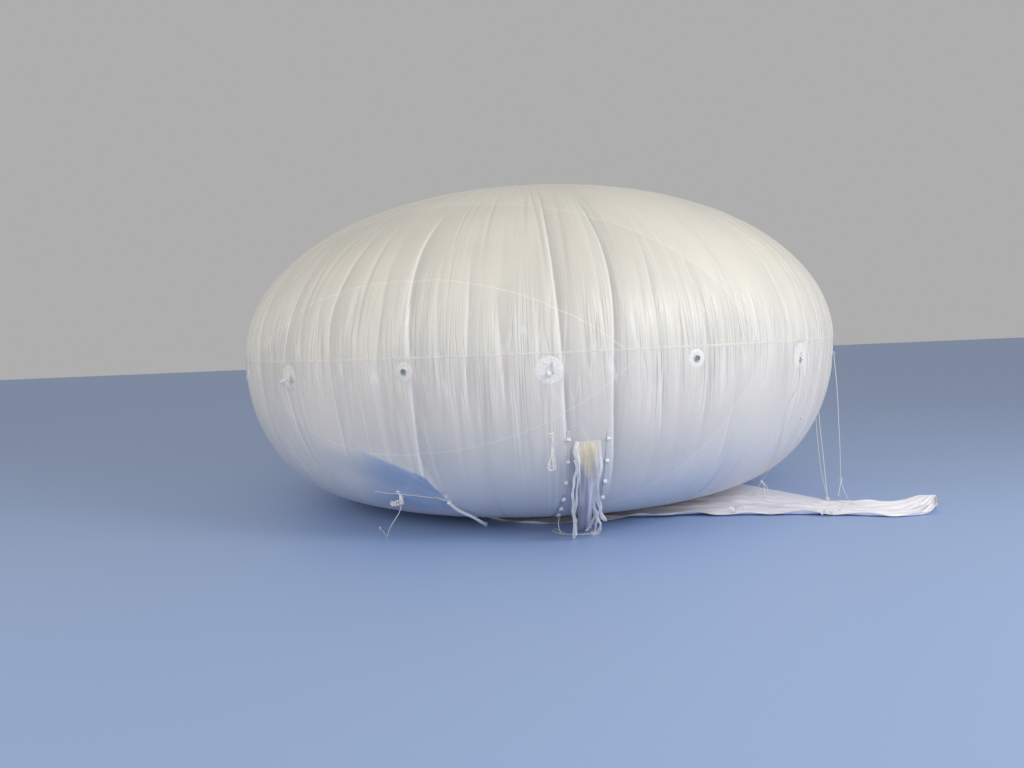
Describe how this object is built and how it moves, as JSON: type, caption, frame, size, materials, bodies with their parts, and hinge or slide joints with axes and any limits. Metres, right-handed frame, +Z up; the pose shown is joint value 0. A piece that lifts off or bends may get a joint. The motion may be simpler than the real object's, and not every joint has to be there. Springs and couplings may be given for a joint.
{
  "type": "tethered advertising balloon",
  "caption": "Round, flattened tethered balloon: an envelope of fabric strips with tether tabs, gas fittings, a filling sleeve, ropes and a wind sail spread beneath it.",
  "frame": {"origin": "the middle of the envelope, on the plane of its equator seam", "axes": "+X to the right seen from the sleeve side, +Y to the back, +Z up"},
  "size_m": [6.918, 6.469, 3.3655],
  "materials": {
    "upper_skin": "satin coated cloth",
    "lower_skin": "satin coated cloth",
    "seam_tape": "satin tape",
    "patch": "satin coated cloth",
    "webbing": "matt weave",
    "valve_plastic": "satin",
    "sleeve_cloth": "thin translucent cloth",
    "sail_cloth": "satin cloth",
    "rope": "braided"
  },
  "bodies": {
    "root": {"upper_strip_1": "upper_skin", "upper_strip_2": "upper_skin", "upper_strip_3": "upper_skin", "upper_strip_4": "upper_skin", "upper_strip_5": "upper_skin", "upper_strip_6": "upper_skin", "upper_strip_7": "upper_skin", "upper_strip_8": "upper_skin", "lower_strip_1": "lower_skin", "lower_strip_2": "lower_skin", "lower_strip_3": "lower_skin", "lower_strip_4": "lower_skin", "lower_strip_5": "lower_skin", "lower_strip_6": "lower_skin", "lower_strip_7": "lower_skin", "lower_strip_8": "lower_skin", "equator_seam_band": "seam_tape", "tether_patch_0": "patch", "tether_patch_right_45": "patch", "tether_patch_right_67_5": "patch", "tether_patch_right_90": "patch", "tether_patch_right_135": "patch", "tether_patch_180": "patch", "tether_patch_left_135": "patch", "tether_patch_left_90": "patch", "tether_patch_left_67_5": "patch", "tether_patch_left_45": "patch", "tether_tab_0": "webbing", "tether_tab_right_45": "webbing", "tether_tab_right_67_5": "webbing", "tether_tab_right_90": "webbing", "tether_tab_right_135": "webbing", "tether_tab_180": "webbing", "tether_tab_left_135": "webbing", "tether_tab_left_90": "webbing", "tether_tab_left_67_5": "webbing", "tether_tab_left_45": "webbing", "sail_strap_tab": "webbing", "underside_tie_tab": "webbing", "valve_right_21_8": "valve_plastic", "valve_right_112_5": "valve_plastic", "valve_right_157_5": "valve_plastic", "valve_left_157_5": "valve_plastic", "valve_left_112_5": "valve_plastic", "valve_left_21": "valve_plastic", "lacing_tape_left": "webbing", "lacing_tape_right": "webbing", "filling_sleeve": "sleeve_cloth", "sleeve_ribbon_left": "webbing", "sleeve_ribbon_right": "webbing", "wind_sail": "sail_cloth", "sail_strap": "webbing", "hand_rope": "rope", "hand_rope_hank": "rope", "short_rope_right_45": "rope", "sail_stay_right_45": "rope", "sail_line_right_67_5": "rope", "sail_stays_right_90": "rope", "lacing_cord": "rope", "underside_tie": "rope"}
  },
  "joints": []
}
